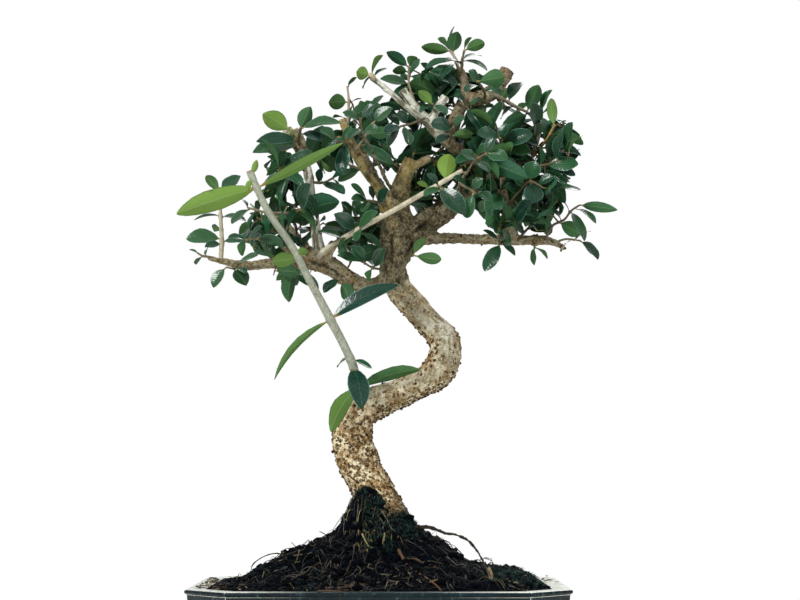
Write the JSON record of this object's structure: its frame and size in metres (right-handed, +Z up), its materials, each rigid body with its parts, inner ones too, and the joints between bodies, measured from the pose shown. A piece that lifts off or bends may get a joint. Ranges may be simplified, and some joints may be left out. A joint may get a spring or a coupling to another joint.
{
  "type": "olive bonsai in a pot",
  "caption": "Small-leaved olive bonsai with an S-curved warty trunk and pruned leafy crown, in a mound of peaty soil in a chamfered glazed pot.",
  "frame": {"origin": "on the surface that the pot's feet stand on, under the middle of the whole object's bounding box", "axes": "+Z up, +X along the pot's length to the right as seen from the front, +Y to the back"},
  "size_m": [0.278, 0.176, 0.4451],
  "materials": {
    "glazed_stoneware": "gloss",
    "drain_mesh": "matte",
    "peat_soil": "matte",
    "bark": "matte",
    "leaf": "satin",
    "young_leaf": "satin"
  },
  "bodies": {
    "root": {"pot": "glazed_stoneware", "drain_screen_left": "drain_mesh", "drain_screen_right": "drain_mesh", "soil": "peat_soil", "trunk": "bark", "spray_shoot_front": "young_leaf", "spray_shoot_tan": "young_leaf", "spray_left_tip": "leaf", "spray_left_under": "leaf", "spray_left_upright": "leaf", "spray_left_mid": "leaf", "spray_left_low_front": "leaf", "spray_left_long_leaf": "leaf", "spray_bend_leaf": "leaf", "spray_crotch": "leaf", "spray_left_pale_twig": "leaf", "spray_left_top": "leaf", "spray_left_top_back": "leaf", "spray_left_inner": "leaf", "spray_golden_tip": "leaf", "spray_golden_right": "leaf", "spray_golden_left": "leaf", "spray_fork_left": "leaf", "spray_stub_tip": "leaf", "spray_top_left": "leaf", "spray_centre_high": "leaf", "spray_short_stub_leaf": "leaf", "spray_top_crown": "leaf", "spray_top_bud": "leaf", "spray_top_right": "leaf", "spray_twig_right": "leaf", "spray_hanging": "leaf", "spray_front_high": "leaf", "spray_mass_front": "leaf", "spray_long_green": "leaf", "spray_cut_twig": "leaf", "spray_yellow_twig": "leaf", "spray_right_fan": "leaf", "spray_riser_right": "leaf", "spray_riser_left": "leaf", "spray_under_right": "leaf", "spray_drop_leaf": "leaf", "spray_right_mass": "leaf", "spray_right_tip": "leaf", "spray_right_low": "leaf", "spray_trunk_right": "leaf", "spray_front_right_a": "leaf", "spray_front_right_b": "leaf", "spray_front_right_tip": "leaf", "spray_front_left_tip": "leaf", "spray_back_left_a": "leaf", "spray_back_left_b": "leaf", "spray_back_right_a": "leaf", "spray_back_right_b": "leaf", "spray_back_right_c": "leaf", "spray_far_left_a": "leaf", "spray_far_left_b": "leaf", "spray_top_back_a": "leaf", "spray_top_back_b": "leaf", "spray_right_back": "leaf"}
  },
  "joints": []
}
